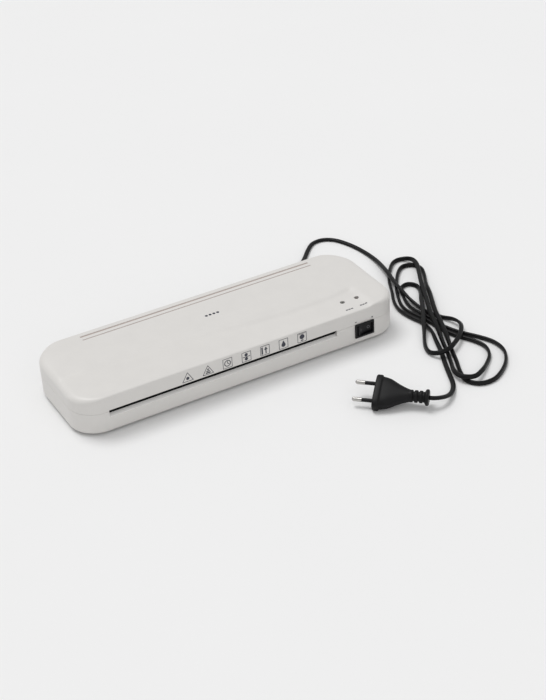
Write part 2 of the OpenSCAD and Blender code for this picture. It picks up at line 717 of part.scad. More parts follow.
module thermostat() color(black_colour) translate([-20, -31, upper_plate_low + heater_t]) {
  cylinder(d = 13, h = 3.5);
  translate([0, 0, 3.5]) cylinder(d = 11, h = 3);
  for (x = [-3.5, 3.5]) translate([x - 0.4, -2.4, 6.5]) cube([0.8, 4.8, 2.5]);
}

module thermal_fuse() color(steel_colour) {
  z = upper_plate_low + heater_t + 2;
  rod_x(4, 34, 46, -31, z);
  rod_x(1, 28, 34, -31, z);
  rod_x(1, 46, 52, -31, z);
}

// Lip of the funnel between the feed slot and the heater plates, `side` -1 for the lower and 1 for the upper.
module entry_lip(side) {
  back = heater_front - 0.2;
  front = front_y + ledge_d + 0.1;
  far = side < 0 ? lower_plate_top : upper_plate_low;
  near = side < 0 ? ledge_z + ledge_rise : slot_top_z;
  profile_x(frame_left, frame_right,
    [[front, near], [back, far], [back, far + side * lip_t], [front, near + side * lip_t]]);
}
module lower_entry_guide() color(guide_colour) entry_lip(-1);
module upper_entry_guide() color(guide_colour) entry_lip(1);

// Lip of the funnel between the rollers and the exit slot. Tabs reach the side plates.
module exit_lip(side) {
  front = 24.6;
  back = back_y - wall - 0.1;
  tab_back = frame_back - 1;
  near = nip_z + side * 1.2;
  far = side < 0 ? exit_low_z : exit_low_z + exit_h;
  tab = near + (far - near) * (tab_back - front) / (back - front);
  profile_x(slot_left - 1.5, slot_right + 1.5,
    [[front, near], [back, far], [back, far + side * lip_t], [front, near + side * lip_t]]);
  profile_x(frame_left, frame_right,
    [[front, near], [tab_back, tab], [tab_back, tab + side * lip_t], [front, near + side * lip_t]]);
}
module lower_exit_guide() color(guide_colour) exit_lip(-1);
module upper_exit_guide() color(guide_colour) exit_lip(1);

// ---------------------------------------------------------------- wiring

module cord_clamp() color(guide_colour) difference() {
  union() {
    block([cord_x - 4, 38, floor_z], [cord_x + 4, 46, cord_z + 3.5]);
    block([cord_x - 4, 38, floor_z], [cord_x + 13, 46, floor_z + 3]);
  }
  translate([cord_x, 37, cord_z]) rotate([-90, 0, 0]) cylinder(d = cord_d, h = 10);
  translate([cord_x + 9, 42, floor_z - 1]) cylinder(d = clear_d, h = 5);
}

module clamp_screws() color(steel_colour)
  translate([cord_x + 9, 42, floor_z + 3]) screw(3);

module mains_wires() {
  color(black_colour) translate([cord_x, 33, cord_z]) rotate([-90, 0, 0])
    cylinder(d = cord_d, h = back_y - wall - 1.6 - 33);
  color("saddlebrown") {
    tube([[cord_x - 1, 33, cord_z], [cord_x - 1, 28, 12], [137, 22, 12], [141, 20, 12]], wire_r, 8);
    tube([[145, 16, 12], [144, 8, 18], [141, -12, 21], [134, -28, 17.5], [switch_x + 5, -34, switch_z]], wire_r, 8);
  }
  color("steelblue") {
    tube([[cord_x + 1, 33, cord_z], [cord_x + 1.5, 29, 12], [139, 26, 12], [141, 25.5, 12]], wire_r, 8);
    tube([[switch_x - 5, -34, switch_z], [121, -30, 17.2], [118.5, -22, 17], [117, -14, 14]], wire_r, 8);
    tube([[126, 4, 14], [127, 9, 17], [131, 18, 24], [131.5, 24, 26], [bracket_x + plate_t + motor_l, 28, 25]],
      wire_r, 8);
  }
  color("firebrick")
    tube([[83, -13, 28.9], [84, -20, 28.9], [88, -28, 29.4], [96, -36, 30], [101.6, -46, 28.4], [108, -46, 22],
      [112, -39, 17], [114, -29, 15.8], [115, -20, 14.2], [115, -14, 13.6]], wire_r, 8);
}

module lamp_wires() color("gold")
  for (x = [-1, 1])
    tube([[138 + x, -36, lamp_board_z], [138 + x, -36.2, 25], [139 + x, -33, 18], [139.5 + x, -29, 14],
      [139.5 + x, -25, 13]], 0.6, 6, [1, 0, 0]);

// ---------------------------------------------------------------- cord and plug

module strain_relief() color(black_colour)
  translate([cord_x, back_y, cord_z]) rotate([-90, 0, 0]) rotate_extrude() polygon([
    [0, -wall - 1.6], [4.9, -wall - 1.6], [4.9, -wall - 0.05], [4, -wall - 0.05], [4, 0.05],
    [4.8, 0.05], [4.8, 1.5], [4, 2.2],
    for (i = [0:4]) each let (z = 3.6 + 3.4 * i, r = 3.9 - 0.2 * i)
      [[r, z], [r - 0.8, z + 0.3], [r - 0.8, z + 1.3], [r - 0.1, z + 1.6]],
    [2.7, relief_l], [0, relief_l],
  ]);

module power_cord() color(black_colour) tube(cord_route, cord_d / 2, 8);

module in_plug_frame() translate(plug_at) rotate([-plug_roll, 0, plug_heading]) children();

// Flattened six-sided slab across the plug, `x` behind its face.
module plug_slab(x, w, t) translate([x - 0.2, 0, 0]) rotate([90, 0, 90]) linear_extrude(0.2)
  polygon([[-w / 2, 0.22 * t], [-w / 2, -0.22 * t], [-w * 0.36, -t / 2], [w * 0.36, -t / 2],
    [w / 2, -0.22 * t], [w / 2, 0.22 * t], [w * 0.36, t / 2], [-w * 0.36, t / 2]]);

module plug_body() color(black_colour) in_plug_frame() difference() {
  union() {
    hull() {
      plug_slab(0, plug_w, plug_t);
      plug_slab(-6, plug_w, plug_t);
    }
    hull() {
      plug_slab(-6, plug_w - 3, plug_t - 1);
      plug_slab(-14, plug_w - 6, plug_t - 1.4);
    }
    hull() {
      plug_slab(-14, plug_w - 6, plug_t - 1.4);
      plug_slab(-33, 12, 9.6);
    }
    rod_x(9.6, -46, -32, 0, 0);
    for (x = [-35, -39, -43]) rod_x(11.4, x - 2.6, x, 0, 0);
    rod_x(15, -plug_l, -46.5, 0, 0);
    rod_x(12.5, -46.5, -45.6, 0, 0);
  }
  for (y = [-1, 1]) rod_x(pin_core_d, -pin_root, 1, y * pin_pitch / 2, 0);
}

module plug_pins() color(steel_colour) in_plug_frame()
  for (y = [-1, 1]) {
    rod_x(pin_core_d, -pin_root, sleeve_l + 1, y * pin_pitch / 2, 0);
    rod_x(pin_d, sleeve_l, pin_l - pin_d / 2, y * pin_pitch / 2, 0);
    translate([pin_l - pin_d / 2, y * pin_pitch / 2, 0]) sphere(d = pin_d);
  }

module pin_sleeves() color(black_colour) in_plug_frame()
  for (y = [-1, 1]) difference() {
    rod_x(pin_d - 0.4, 0, sleeve_l, y * pin_pitch / 2, 0);
    rod_x(pin_core_d, -1, sleeve_l + 1, y * pin_pitch / 2, 0);
  }

base_tray();
left_rim();
right_rim();
feed_sill();
top_cover();
rubber_feet();
case_screws();
switch_housing();
switch_rocker();
switch_terminals();
power_lamp();
ready_lamp();
lamp_board();
control_board();
board_parts();
board_screws();
terminal_block();
left_side_plate();
right_side_plate();
tie_rods();
frame_screws();
lower_bushes();
upper_bushes();
pressure_springs();
lower_shaft();
lower_roller_sleeve();
lower_gear();
upper_shaft();
upper_roller_sleeve();
upper_gear();
motor_bracket();
drive_motor();
motor_screws();
motor_pinion();
lower_heater_plate();
upper_heater_plate();
lower_heater_strip();
upper_heater_strip();
thermostat();
thermal_fuse();
lower_entry_guide();
upper_entry_guide();
lower_exit_guide();
upper_exit_guide();
cord_clamp();
clamp_screws();
mains_wires();
lamp_wires();
strain_relief();
power_cord();
plug_body();
plug_pins();
pin_sleeves();
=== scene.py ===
"""Desktop pouch laminator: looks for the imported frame."""
import math
import random

import bmesh
import bpy
import numpy as np
from mathutils import Matrix, Vector


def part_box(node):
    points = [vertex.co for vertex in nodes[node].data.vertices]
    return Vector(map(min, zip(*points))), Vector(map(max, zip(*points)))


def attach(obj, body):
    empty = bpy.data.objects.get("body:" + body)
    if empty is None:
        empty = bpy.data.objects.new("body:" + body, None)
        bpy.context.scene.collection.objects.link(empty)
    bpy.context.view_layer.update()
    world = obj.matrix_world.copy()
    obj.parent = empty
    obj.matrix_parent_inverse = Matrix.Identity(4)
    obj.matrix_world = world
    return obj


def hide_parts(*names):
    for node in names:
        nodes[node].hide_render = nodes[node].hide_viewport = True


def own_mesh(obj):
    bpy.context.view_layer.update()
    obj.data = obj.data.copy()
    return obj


MM = 0.001
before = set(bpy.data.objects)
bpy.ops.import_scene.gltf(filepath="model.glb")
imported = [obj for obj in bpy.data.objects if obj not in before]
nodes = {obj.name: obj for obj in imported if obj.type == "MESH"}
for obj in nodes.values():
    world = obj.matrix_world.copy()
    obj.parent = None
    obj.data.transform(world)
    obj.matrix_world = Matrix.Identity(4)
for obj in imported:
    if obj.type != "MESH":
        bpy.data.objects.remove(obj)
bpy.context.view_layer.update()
random.seed(7)
scene = bpy.context.scene

# Sizes of the case, in millimetres
CASE_W, CASE_D, CASE_H = 335.0, 109.4, 40.4
CORNER_R, WALL, SEAM_Z, FOOT_H = 26.8, 2.2, 23.5, 2.5
FRONT_Y, BACK_Y = -CASE_D / 2, CASE_D / 2
SLOT_LEFT, SLOT_RIGHT, SLOT_TOP = -138.7, 96.3, 24.9
SWITCH_X, SWITCH_Z = 126.3, 16.5
LAMPS = (115.7, 131.3)
LAMP_Y = -33.4
CORD_X, CORD_Z, RELIEF_L = 136.0, 12.0, 22.0
PLUG_AT = Vector((81.1, -142.7, 11.05))
PLUG_HEADING, PLUG_ROLL, PLUG_L = 136.5, 21.4, 49.5


# ------------------------------------------------------------------ camera
def make_camera():
    az, el, roll = math.radians(-27.85), math.radians(33.0), math.radians(-3.25)
    back = Vector((math.sin(az) * math.cos(el), -math.cos(az) * math.cos(el), math.sin(el)))
    right = Vector((math.cos(az), math.sin(az), 0))
    up = back.cross(right)
    r2 = right * math.cos(roll) + up * math.sin(roll)
    u2 = -right * math.sin(roll) + up * math.cos(roll)
    place = (r2 * 49.37 + u2 * 7.03 + back * 1483.8) * MM
    data = bpy.data.cameras.new("camera")
    data.lens, data.sensor_width = 80.47, 36.0
    data.clip_start, data.clip_end = 0.05, 30
    cam = bpy.data.objects.new("camera", data)
    m = Matrix((r2, u2, back)).transposed().to_4x4()
    m.translation = place
    cam.matrix_world = m
    scene.collection.objects.link(cam)
    scene.camera = cam


# ------------------------------------------------------------------ helpers
def add_mesh(name, verts, faces, scale=MM):
    mesh = bpy.data.meshes.new(name)
    mesh.from_pydata([tuple(c * scale for c in v) for v in verts], [], faces)
    mesh.validate()
    obj = bpy.data.objects.new(name, mesh)
    scene.collection.objects.link(obj)
    bm = bmesh.new()
    bm.from_mesh(mesh)
    bmesh.ops.recalc_face_normals(bm, faces=bm.faces)
    bm.to_mesh(mesh)
    bm.free()
    return obj


def smooth_by_angle(obj, degrees=32):
    """Smooth shading, with an edge kept sharp where its faces meet at more than the angle."""
    bm = bmesh.new()
    bm.from_mesh(obj.data)
    limit = math.radians(degrees)
    for f in bm.faces:
        f.smooth = True
    for e in bm.edges:
        e.smooth = len(e.link_faces) == 2 and e.calc_face_angle(0) < limit
    bm.to_mesh(obj.data)
    bm.free()


def join(name, parts):
    """Joins objects into a new one and removes them."""
    bm = bmesh.new()
    for p in parts:
        tmp = p.data.copy()
        tmp.transform(p.matrix_world)
        bm.from_mesh(tmp)
        bpy.data.meshes.remove(tmp)
    mesh = bpy.data.meshes.new(name)
    bm.to_mesh(mesh)
    bm.free()
    for p in parts:
        bpy.data.objects.remove(p)
    obj = bpy.data.objects.new(name, mesh)
    scene.collection.objects.link(obj)
    return obj


def apply_modifiers(obj):
    dg = bpy.context.evaluated_depsgraph_get()
    mesh = bpy.data.meshes.new_from_object(obj.evaluated_get(dg))
    obj.modifiers.clear()
    obj.data = mesh


def boolean(obj, tool, operation="DIFFERENCE"):
    mod = obj.modifiers.new("cut", "BOOLEAN")
    mod.operation, mod.solver, mod.object = operation, "EXACT", tool
    apply_modifiers(obj)
    bpy.data.objects.remove(tool)


def bevelled(obj, width, segments=2, degrees=40):
    mod = obj.modifiers.new("edge", "BEVEL")
    mod.width, mod.segments = width * MM, segments
    mod.limit_method, mod.angle_limit = "ANGLE", math.radians(degrees)
    mod.use_clamp_overlap = True
    apply_modifiers(obj)


def box_mesh(name, low, high):
    x0, y0, z0 = low
    x1, y1, z1 = high
    v = [(x, y, z) for x in (x0, x1) for y in (y0, y1) for z in (z0, z1)]
    return add_mesh(name, v, [(0, 1, 3, 2), (4, 6, 7, 5), (0, 4, 5, 1), (2, 3, 7, 6), (0, 2, 6, 4), (1, 5, 7, 3)])


def rod_mesh(name, a, b, r, sides=32):
    a, b = Vector(a), Vector(b)
    axis = (b - a).normalized()
    side = axis.orthogonal().normalized()
    other = axis.cross(side)
    turn = [2 * math.pi * k / sides for k in range(sides)]
    ring = [side * math.cos(t) * r + other * math.sin(t) * r for t in turn]
    verts = [a + p for p in ring] + [b + p for p in ring]
    faces = [(k, (k + 1) % sides, sides + (k + 1) % sides, sides + k) for k in range(sides)]
    faces += [tuple(range(sides)), tuple(range(sides, 2 * sides))]
    return add_mesh(name, verts, faces)


def prism_x(name, left, right, outline):
    n = len(outline)
    verts = [(left, y, z) for y, z in outline] + [(right, y, z) for y, z in outline]
    faces = [(k, (k + 1) % n, n + (k + 1) % n, n + k) for k in range(n)]
    return add_mesh(name, verts, faces + [tuple(range(n)), tuple(range(n, 2 * n))])


def loft(name, rings, close_ends=True):
    """Skins rings that have the same number of points."""
    n = len(rings[0])
    verts = [p for ring in rings for p in ring]
    faces = []
    for i in range(len(rings) - 1):
        for k in range(n):
            a, b = i * n + k, i * n + (k + 1) % n
            faces.append((a, b, b + n, a + n))
    if close_ends:
        faces += [tuple(range(n)), tuple(range((len(rings) - 1) * n, len(rings) * n))]
    return add_mesh(name, verts, faces)


# ------------------------------------------------------------------ materials
def material(name, colour, roughness=0.5, metallic=0.0, spot=0.0, spot_scale=300.0, bump=0.0,
             bump_scale=4000.0, rough_vary=0.0, stretch=(1, 1, 1), **sockets):
    """Principled material whose colour, roughness and relief vary over the surface."""
    mat = bpy.data.materials.new(name)
    mat.use_nodes = True
    tree = mat.node_tree
    shader = tree.nodes["Principled BSDF"]
    shader.inputs["Metallic"].default_value = metallic
    shader.inputs["Roughness"].default_value = roughness
    for key, value in sockets.items():
        shader.inputs[key.replace("_", " ")].default_value = value
    coords = tree.nodes.new("ShaderNodeTexCoord")
    mapping = tree.nodes.new("ShaderNodeMapping")
    mapping.inputs["Scale"].default_value = stretch
    tree.links.new(coords.outputs["Object"], mapping.inputs["Vector"])

    def noise(scale, detail):
        n = tree.nodes.new("ShaderNodeTexNoise")
        n.inputs["Scale"].default_value = scale
        n.inputs["Detail"].default_value = detail
        tree.links.new(mapping.outputs["Vector"], n.inputs["Vector"])
        return n

    cloud = noise(spot_scale, 3)
    ramp = tree.nodes.new("ShaderNodeValToRGB")
    low = [c * (1 - spot) for c in colour]
    high = [min(1.0, c * (1 + spot)) for c in colour]
    ramp.color_ramp.elements[0].position, ramp.color_ramp.elements[1].position = 0.3, 0.7
    ramp.color_ramp.elements[0].color = (*low, 1)
    ramp.color_ramp.elements[1].color = (*high, 1)
    tree.links.new(cloud.outputs["Fac"], ramp.inputs["Fac"])
    tree.links.new(ramp.outputs["Color"], shader.inputs["Base Color"])
    if rough_vary:
        span = tree.nodes.new("ShaderNodeMapRange")
        span.inputs["To Min"].default_value = roughness - rough_vary
        span.inputs["To Max"].default_value = roughness + rough_vary
        tree.links.new(cloud.outputs["Fac"], span.inputs["Value"])
        tree.links.new(span.outputs["Result"], shader.inputs["Roughness"])
    if bump:
        grain = noise(bump_scale, 2)
        relief = tree.nodes.new("ShaderNodeBump")
        relief.inputs["Strength"].default_value = bump
        relief.inputs["Distance"].default_value = 0.00008
        tree.links.new(grain.outputs["Fac"], relief.inputs["Height"])
        tree.links.new(relief.outputs["Normal"], shader.inputs["Normal"])
    return mat


def make_materials():
    return {
        "case": material("case_abs", (0.70, 0.683, 0.66), 0.42, spot=0.012, spot_scale=60, bump=0.25,
                         bump_scale=2600, rough_vary=0.03),
        # ledge colour is painted lighter than the case plastic: painted light for the light the ledge catches from the
        # front; its lower roughness is a smoother finish
        "ledge": material("ledge_painted_light", (0.88, 0.865, 0.845), 0.34, spot=0.012, spot_scale=60),
        # groove floors are painted darker than the case plastic: painted shade in the grooves
        "groove": material("groove_painted_shade", (0.47, 0.40, 0.37), 0.6, spot=0.03, spot_scale=90),
        "print": material("pad_print", (0.03, 0.032, 0.05), 0.45, spot=0.12, spot_scale=900),
        "pale_print": material("pale_print", (0.13, 0.13, 0.14), 0.45, spot=0.08, spot_scale=900),
        "black": material("switch_black", (0.006, 0.006, 0.007), 0.42, spot=0.15, bump=0.2, rough_vary=0.05,
                          Specular_IOR_Level=0.24),
        "rubber": material("foot_rubber", (0.018, 0.018, 0.018), 0.85, spot=0.2, bump=0.5, bump_scale=2500),
        "cord": material("cord_pvc", (0.004, 0.004, 0.0045), 0.36, spot=0.25, spot_scale=120, bump=0.12,
                         bump_scale=1800, rough_vary=0.07, Specular_IOR_Level=0.18),
        "plug": material("plug_pvc", (0.006, 0.006, 0.0065), 0.44, spot=0.2, spot_scale=200, bump=0.35,
                         bump_scale=2200, rough_vary=0.06, Specular_IOR_Level=0.18),
        "nickel": material("nickel_plate", (0.50, 0.49, 0.47), 0.3, 1.0, spot=0.06, spot_scale=500, rough_vary=0.06),
        "steel": material("zinc_steel", (0.55, 0.56, 0.58), 0.34, 1.0, spot=0.08, spot_scale=180, rough_vary=0.1,
                          stretch=(1, 6, 6)),
        "brass": material("tinned_brass", (0.75, 0.6, 0.32), 0.3, 1.0, spot=0.08),
        "green": material("green_lamp", (0.022, 0.028, 0.016), 0.3, spot=0.1, Transmission_Weight=0.35, IOR=1.5),
        "orange": material("orange_lamp", (0.075, 0.02, 0.01), 0.3, spot=0.1, Transmission_Weight=0.35, IOR=1.5),
        "board": material("board_green", (0.03, 0.16, 0.07), 0.35, spot=0.12, spot_scale=500),
        "ivory": material("ivory_nylon", (0.7, 0.65, 0.52), 0.5, spot=0.04),
        "gear": material("acetal", (0.78, 0.77, 0.71), 0.38, spot=0.02),
        "silicone": material("silicone_red", (0.40, 0.085, 0.045), 0.55, spot=0.06, bump=0.2),
        "aluminium": material("mill_aluminium", (0.72, 0.73, 0.74), 0.32, 1.0, spot=0.05, rough_vary=0.08,
                              stretch=(1, 14, 14)),
        "mica": material("mica_wrap", (0.5, 0.42, 0.27), 0.45, spot=0.2, spot_scale=350),
        "guide": material("guide_black", (0.02, 0.02, 0.022), 0.55, spot=0.15, bump=0.2),
        "wire": material("wire_pvc", (0.28, 0.07, 0.05), 0.4, spot=0.1),
    }


def dress(obj, mat):
    obj.data.materials.clear()
    obj.data.materials.append(mat)


NODE_FINISH = {
    "rubber": ["rubber_feet"],
    "steel": ["case_screws", "board_screws", "left_side_plate", "right_side_plate", "tie_rods", "frame_screws",
              "pressure_springs", "lower_shaft", "upper_shaft", "motor_bracket", "drive_motor", "motor_screws",
              "clamp_screws", "thermal_fuse"],
    "brass": ["switch_terminals"],
    "green": ["power_lamp"],
    "orange": ["ready_lamp"],
    "board": ["lamp_board", "control_board"],
    "ivory": ["board_parts", "terminal_block"],
    "gear": ["lower_bushes", "upper_bushes", "lower_gear", "upper_gear", "motor_pinion"],
    "silicone": ["lower_roller_sleeve", "upper_roller_sleeve"],
    "aluminium": ["lower_heater_plate", "upper_heater_plate"],
    "mica": ["lower_heater_strip", "upper_heater_strip"],
    "black": ["thermostat", "switch_housing", "switch_rocker", "pin_sleeves"],
    "guide": ["lower_entry_guide", "upper_entry_guide", "lower_exit_guide", "upper_exit_guide", "cord_clamp"],
    "wire": ["mains_wires", "lamp_wires"],
    "cord": ["strain_relief", "power_cord"],
    "plug": ["plug_body"],
    "nickel": ["plug_pins"],
    "case": ["top_cover", "base_tray", "left_rim", "right_rim", "feed_sill"],
}


# ------------------------------------------------------------------ cord
def plug_point(along):
    h = math.radians(PLUG_HEADING)
    return tuple(PLUG_AT + along * Vector((math.cos(h), math.sin(h), 0)))


CORD_LEAD = [
    (CORD_X, BACK_Y + RELIEF_L, CORD_Z), (CORD_X, BACK_Y + RELIEF_L + 2, CORD_Z), (137.5, 87, 10.4),
    (144, 97, 6.8), (153, 107, 3.6), (163, 118, 2.2), (173, 129, 2.1), (184, 138, 2.1), (196, 139, 2.1),
    (206, 132, 2.1), (213, 118, 2.1), (218, 98, 2.1), (219, 72, 3), (213, 42, 6.4), (206, 12, 6.7), (203, -7, 6.6),
    (203, -25, 3.4),
]
SMALL_RIGHT = [
    (205, -44, 2.1), (212, -61, 2.2), (217, -73, 4.6), (216, -86, 6.6), (206, -99, 6.7), (192, -110, 6.8),
    (180, -116, 6.8), (171, -116, 6.2), (166, -108, 3.2), (168, -97, 2.1), (175, -84, 2.4), (183, -72, 5.4),
]
SMALL_LEFT = [
    (193, -56, 6.9), (203, -40, 6.9), (212, -24, 5.6), (222, -7, 2.8), (225, 3, 2.1), (219, 11, 2.1),
    (210, 8, 2.1), (202, -8, 2.1), (197, -25, 2.1), (198, -41, 2.1),
]
OUTER_RIGHT = [
    (202, -58, 2.1), (204, -76, 2.1), (210, -92, 2.1), (220, -108, 2.1), (227, -123, 2.1), (227, -139, 2.1),
    (219, -154, 2.1), (205, -167, 2.1), (189, -175, 2.1), (175, -173, 2.1), (168, -163, 2.1),
    (171, -149, 2.1), (179, -131, 2.1), (187, -111, 2.4), (194, -93, 6),
]
INNER_LEFT = [
    (201, -75, 6.6), (210, -51, 6.5), (217, -36, 6.5), (225, -20, 5.6), (233, -2, 3.6), (243, 16, 2.1),
    (248, 29, 2.1), (245, 40, 2.1), (235, 43, 2.1), (224, 35, 2.1), (213, 21, 2.1), (204, 8, 2.1),
    (197, -6, 2.1), (192, -18, 2.1), (190, -31, 2.1),
]
INNER_RIGHT = [
    (193, -44, 2.1), (197, -60, 2.1), (199, -78, 2.1), (204, -95, 2.1), (212, -110, 2.1), (216, -125, 2.1),
    (211, -139, 2.1), (200, -150, 2.4), (187, -160, 4.6), (174, -166, 6.5), (165, -160, 6.6),
    (165, -148, 5), (173, -131, 2.4), (181, -113, 2.1), (187, -97, 2.8),
]
OUTER_LEFT = [
    (195, -76, 6.3), (203, -54, 6.5), (211, -37, 6.5), (220, -18, 6.5), (230, 3, 6.6), (239, 20, 6.7),
    (246, 35, 6.7), (248, 47, 4.8), (243, 56, 2.2), (233, 56, 2.1), (219, 43, 2.1), (206, 24, 2.1),
    (198, 7, 2.1), (190, -8, 2.1), (185, -24, 2.1),
]
CORD_TAIL = [
    (186, -41, 2.1), (190, -57, 2.1), (190, -73, 2.1), (184, -90, 2.1), (177, -109, 2.1), (168, -129, 2.1),
    (161, -146, 2.1), (156, -158, 2.1), (149, -168, 3.2), (140, -176, 5.8), (130, -180, 8.6),
]
CORD_W, CORD_T = 4.6, 3.2


def spline(points, step):
    """Centripetal Catmull-Rom curve through the points, sampled every `step`."""
    p = [np.array(q, float) for q in points]
    p = [2 * p[0] - p[1]] + p + [2 * p[-1] - p[-2]]
    fine = []
    for i in range(1, len(p) - 2):
        a, b, c, d = p[i - 1:i + 3]
        t1 = np.linalg.norm(b - a) ** 0.5
        t2 = t1 + np.linalg.norm(c - b) ** 0.5
        t3 = t2 + np.linalg.norm(d - c) ** 0.5
        for s in np.linspace(0, 1, 24, endpoint=False):
            t = t1 + (t2 - t1) * s
            a1 = (t1 - t) / t1 * a + t / t1 * b
            a2 = (t2 - t) / (t2 - t1) * b + (t - t1) / (t2 - t1) * c
            a3 = (t3 - t) / (t3 - t2) * c + (t - t2) / (t3 - t2) * d
            b1 = (t2 - t) / t2 * a1 + t / t2 * a2
            b2 = (t3 - t) / (t3 - t1) * a2 + (t - t1) / (t3 - t1) * a3
            fine.append((t2 - t) / (t2 - t1) * b1 + (t - t1) / (t2 - t1) * b2)
    fine.append(p[-2])
    fine = np.array(fine)
    arc = np.concatenate([[0], np.cumsum(np.linalg.norm(np.diff(fine, axis=0), axis=1))])
    at = np.linspace(0, arc[-1], int(arc[-1] / step) + 1)
    return np.stack([np.interp(at, arc, fine[:, k]) for k in range(3)], axis=1)


def blurred(values, width):
    kernel = np.hanning(width)
    kernel /= kernel.sum()
    padded = np.pad(values, width // 2, mode="edge")
    return np.convolve(padded, kernel, mode="same")[width // 2:-(width // 2)]


def twin_section(sides=20):
    """Outline of the flat two-core sheath: an oval with a shallow groove down each face."""
    out = []
    for k in range(sides):
        t = 2 * math.pi * k / sides
        c, s = math.cos(t), math.sin(t)
        x = math.copysign(abs(c) ** 0.8, c) * CORD_W / 2
        groove = 0.26 * math.exp(-(x / 0.55) ** 2)
        out.append((x, math.copysign(max(0.0, abs(s) ** 0.8 * CORD_T / 2 - groove * abs(s)), s)))
    return out


def make_cord(mats):
    route = (CORD_LEAD + SMALL_RIGHT + SMALL_LEFT + OUTER_RIGHT + INNER_LEFT + INNER_RIGHT + OUTER_LEFT
             + CORD_TAIL + [plug_point(-PLUG_L - 4), plug_point(-PLUG_L)])
    line = spline(route, 1.5)
    # the sheath is too stiff to turn sharply at a point of the route
    hold = np.clip(np.minimum(np.arange(len(line)), np.arange(len(line))[::-1]) / 8, 0, 1)
    for k in range(3):
        line[:, k] += hold * (blurred(line[:, k], 11) - line[:, k])
    tangent = np.gradient(line, axis=0)
    tangent /= np.linalg.norm(tangent, axis=1)[:, None]
    bend = np.linalg.norm(np.gradient(tangent, axis=0), axis=1) / 1.5
    # the flat cord stands on edge where it turns tightly, and lies flat elsewhere
    edge = blurred(np.clip((bend - 1 / 55) / (1 / 22 - 1 / 55), 0, 1), 31)
    order = np.arange(len(line)) / len(line)
    bundle = blurred(((order > 0.12) & (order < 0.93)).astype(float), 61)
    edge = np.maximum(edge * bundle, 0.85 * bundle)
    ends = np.minimum(np.arange(len(line)), np.arange(len(line))[::-1]) * 1.5
    edge *= np.clip((ends - 4) / 30, 0, 1)
    edge *= 1 - 0.5 * np.clip((line[:, 2] - 3.5) / 2.5, 0, 1)
    roll = edge * math.pi / 2
    section = twin_section()
    flat = np.array(section)
    half_h = np.abs(np.outer(np.sin(roll), flat[:, 0]) + np.outer(np.cos(roll), flat[:, 1])).max(axis=1)
    line[:, 2] = np.maximum(line[:, 2], 2.1)
    fade = np.clip((9 - line[:, 2]) / 3, 0, 1)
    line[:, 2] += fade * (half_h + 0.05 - 2.1)
    up = np.array([0, 0, 1.0])
    rings = []
    for p, t, r in zip(line, tangent, roll):
        side = np.cross(t, up)
        side /= np.linalg.norm(side)
        top = np.cross(side, t)
        u = side * math.cos(r) + top * math.sin(r)
        v = -side * math.sin(r) + top * math.cos(r)
        rings.append([tuple(p + u * a + v * b) for a, b in section])
    cord = loft("mains_cord", rings)
    smooth_by_angle(cord, 60)
    dress(cord, mats["cord"])
    length = float(np.linalg.norm(np.diff(line, axis=0), axis=1).sum()) * MM
    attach(cord, "case")
    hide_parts("power_cord")
    return cord, length, [tuple(q * MM) for q in line]


# ------------------------------------------------------------------ plug
def plug_matrix():
    return (Matrix.Translation(PLUG_AT * MM) @ Matrix.Rotation(math.radians(PLUG_HEADING), 4, "Z")
            @ Matrix.Rotation(math.radians(-PLUG_ROLL), 4, "X"))


def super_ring(x, half_w, half_t, power, sides=48):
    ring = []
    for k in range(sides):
        t = 2 * math.pi * k / sides
        c, s = math.cos(t), math.sin(t)
        ring.append((x, math.copysign(abs(c) ** (2 / power), c) * half_w,
                     math.copysign(abs(s) ** (2 / power), s) * half_t))
    return ring


def make_plug(mats):
    w, t = 35.3 / 2, 13.7 / 2
    # distance behind the face, half width, half thickness, squareness
    stations = [
        (0.0, w - 1.7, t - 1.6, 3.4), (-0.15, w - 0.9, t - 0.8, 3.6), (-0.7, w - 0.2, t - 0.15, 3.8),
        (-1.4, w, t, 3.9), (-5.0, w, t, 3.9), (-5.7, w - 0.2, t - 0.1, 3.8), (-6.1, w - 0.9, t - 0.4, 3.7),
        (-6.5, w - 1.5, t - 0.5, 3.6), (-7.5, w - 1.6, t - 0.5, 3.6), (-11, w - 2.3, t - 0.6, 3.4),
        (-14, w - 3.2, t - 0.7, 3.2), (-18, w - 5.4, t - 1.0, 3.0), (-22, w - 7.7, t - 1.3, 2.8),
        (-26, w - 9.6, t - 1.6, 2.6), (-30, w - 11.1, t - 1.9, 2.3), (-32.4, w - 11.8, t - 2.0, 2.1),
    ]
    body = loft("plug_shell", [super_ring(x, a, b, n) for x, a, b, n in stations], close_ends=True)
    # ribbed neck and flared collar
    profile = [(-31.5, 5.3), (-32.6, 5.7), (-34.6, 5.7), (-35.0, 5.4), (-35.3, 4.5), (-36.2, 4.5), (-36.5, 5.4),
               (-36.9, 5.7), (-39.0, 5.7), (-39.4, 5.4), (-39.7, 4.5), (-40.6, 4.5), (-40.9, 5.4), (-41.3, 5.7),
               (-43.2, 5.7), (-43.7, 5.4), (-44.0, 4.8), (-45.4, 4.9), (-46.3, 6.4), (-46.8, 7.2), (-47.5, 7.5),
               (-48.6, 7.5), (-49.2, 7.2), (-49.5, 6.6), (-49.5, 3.2)]
    neck = loft("plug_neck", [super_ring(x, r, r, 2) for x, r in profile])
    plug = join("mains_plug", [body, neck])
    plug.data.transform(plug_matrix())
    smooth_by_angle(plug, 38)
    dress(plug, mats["plug"])
    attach(plug, "case")
    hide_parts("plug_body")
    return plug


make_camera()
MATS = make_materials()
for finish, names in NODE_FINISH.items():
    for n in names:
        dress(nodes[n], MATS[finish])
cord, cord_length, cord_path = make_cord(MATS)
plug = make_plug(MATS)


